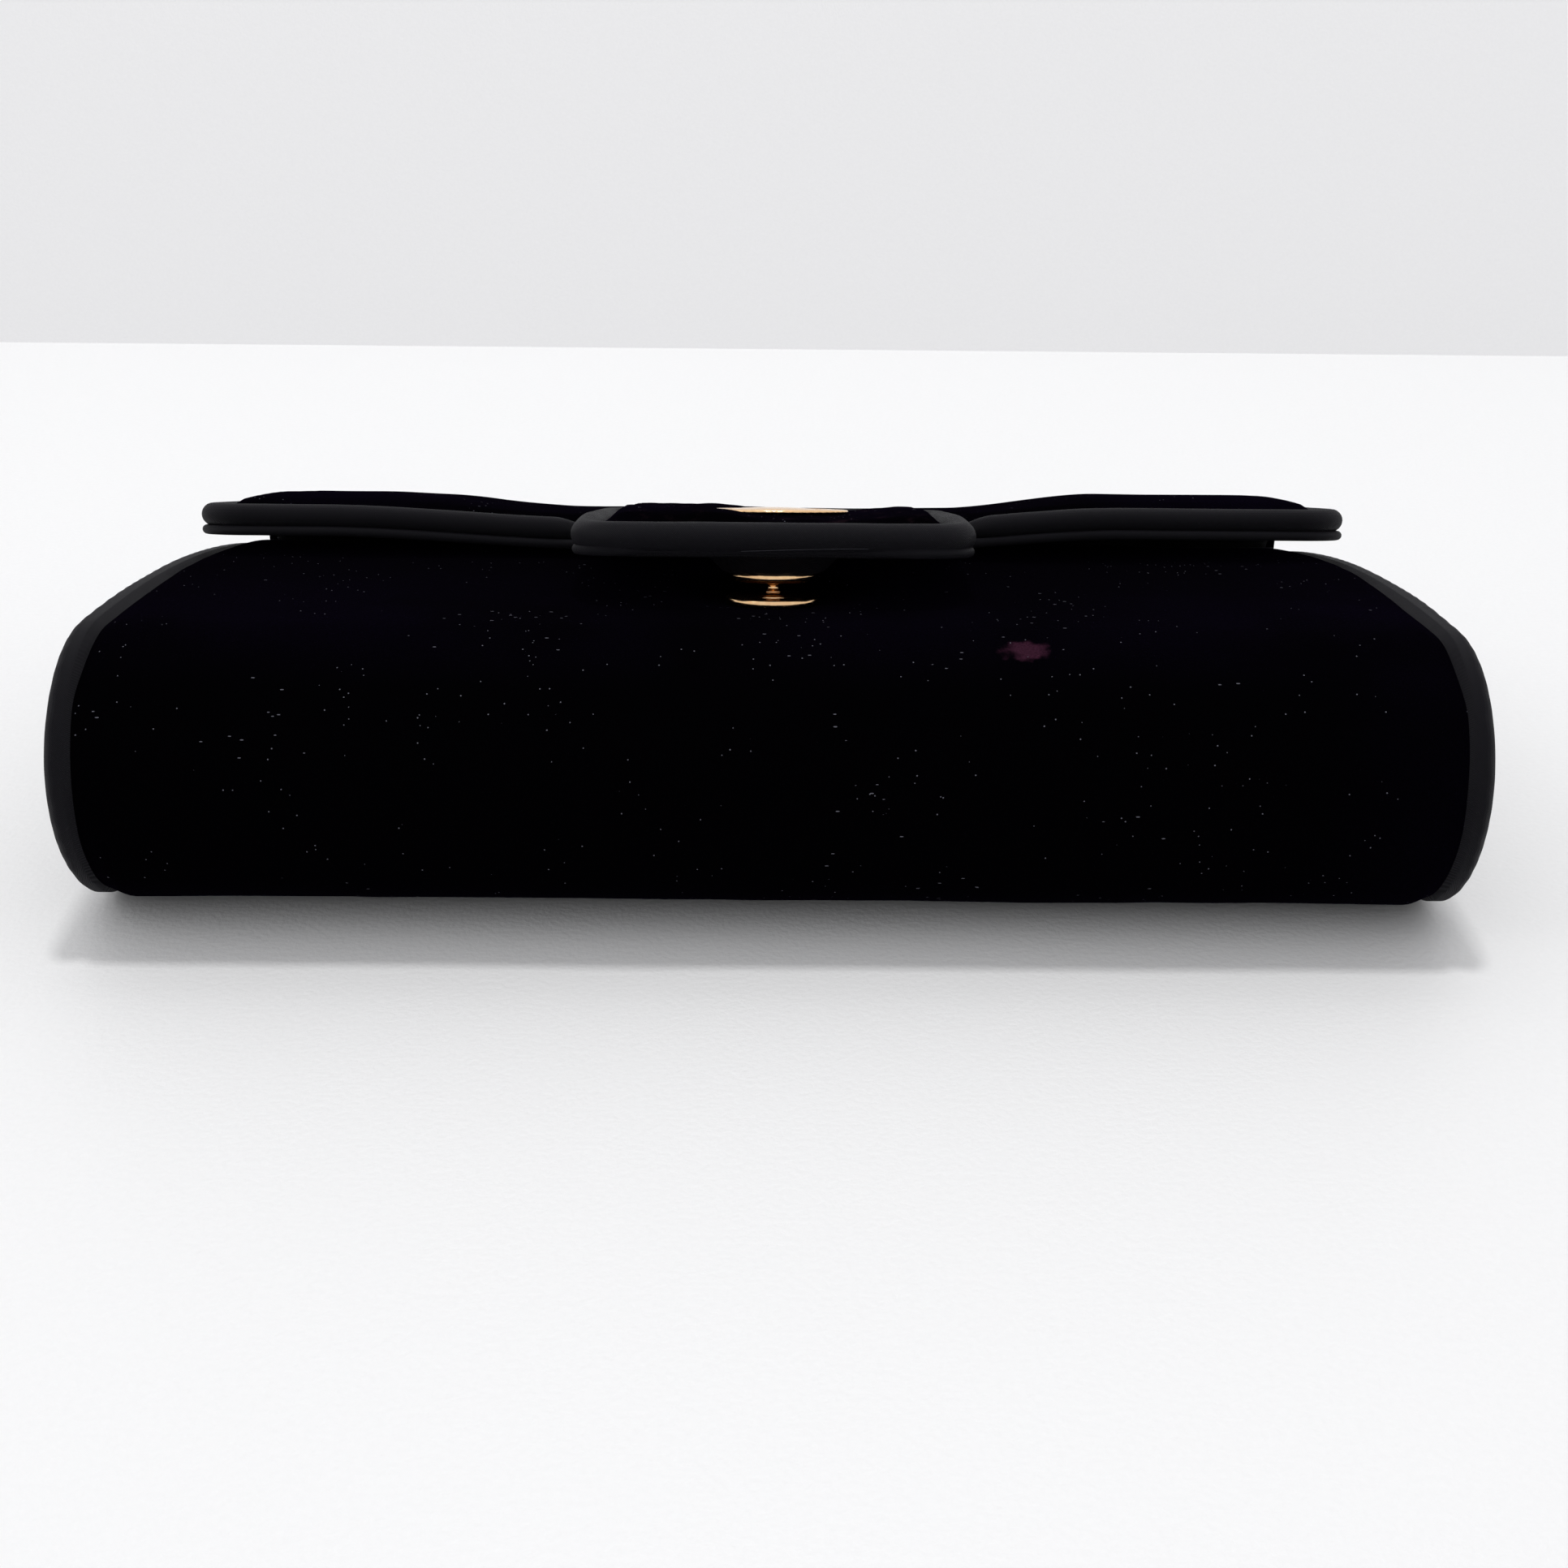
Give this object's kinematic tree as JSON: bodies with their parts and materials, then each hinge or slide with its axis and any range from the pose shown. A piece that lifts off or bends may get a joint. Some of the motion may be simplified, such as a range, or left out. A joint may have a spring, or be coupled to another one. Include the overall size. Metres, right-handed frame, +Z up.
{
  "type": "clutch purse",
  "caption": "Padded velvet evening clutch with a rounded base, satin gussets, a folding flap edged with satin rolls, and a magnetic snap under its tab.",
  "frame": {"origin": "under the middle of the whole bag, on the surface it lies on", "axes": "+X along the bag's width, -Y towards the rounded base, +Z up out of the front panel, so the bag lies on its back"},
  "size_m": [0.2532, 0.1544, 0.0679],
  "materials": {
    "velvet": "short cut pile, soft sheen",
    "satin": "fine twill-faced satin, low sheen",
    "lining": "plain satin lining",
    "wadding": "bonded wadding",
    "board": "grey board",
    "cord": "twisted cotton piping cord",
    "felt": "pressed felt",
    "gold": "polished, gold plated",
    "magnet": "nickel plated ring magnet",
    "steel": "plated sheet steel"
  },
  "bodies": {
    "body": {"velvet_wrap": "velvet", "gusset_satin_left": "satin", "gusset_satin_right": "satin", "front_binding": "satin", "lining_wrap": "lining", "gusset_lining_left": "lining", "gusset_lining_right": "lining", "slip_pocket": "lining", "wadding_wrap": "wadding", "gusset_pad_left": "wadding", "gusset_pad_right": "wadding", "back_board": "board", "base_board": "board", "front_board": "board", "gusset_board_left": "board", "gusset_board_right": "board", "snap_cup": "gold", "snap_magnet": "magnet", "snap_cup_prongs": "steel", "snap_cup_washer": "steel"},
    "top_strip": {"strip_lining": "lining", "strip_board": "board", "strip_wadding": "wadding", "strip_velvet": "velvet"},
    "flap": {"flap_velvet": "velvet", "flap_wadding": "wadding", "flap_board": "board", "flap_lining": "lining", "flap_bead": "satin", "flap_roll_left": "satin", "flap_roll_right": "satin", "flap_cord_left": "cord", "flap_cord_right": "cord", "tab_velvet": "velvet", "tab_wadding": "wadding", "tab_board": "board", "tab_roll": "satin", "tab_cord": "cord", "snap_patch": "felt", "snap_plate": "gold", "snap_stud": "gold", "snap_plate_prongs": "steel", "snap_plate_washer": "steel", "ornament_plate": "gold", "ornament_dome": "gold", "ornament_prongs": "steel", "ornament_washer": "steel"}
  },
  "joints": [
    {"name": "back_fold", "type": "hinge", "parent": "body", "child": "top_strip", "pos_m": [0, 0.0772, 0], "axis": [-1, 0, 0], "range_deg": [0, 90]},
    {"name": "flap_fold", "type": "hinge", "parent": "top_strip", "child": "flap", "pos_m": [0, 0.0772, 0.0343], "axis": [-1, 0, 0], "range_deg": [-1.1, 100]}
  ]
}
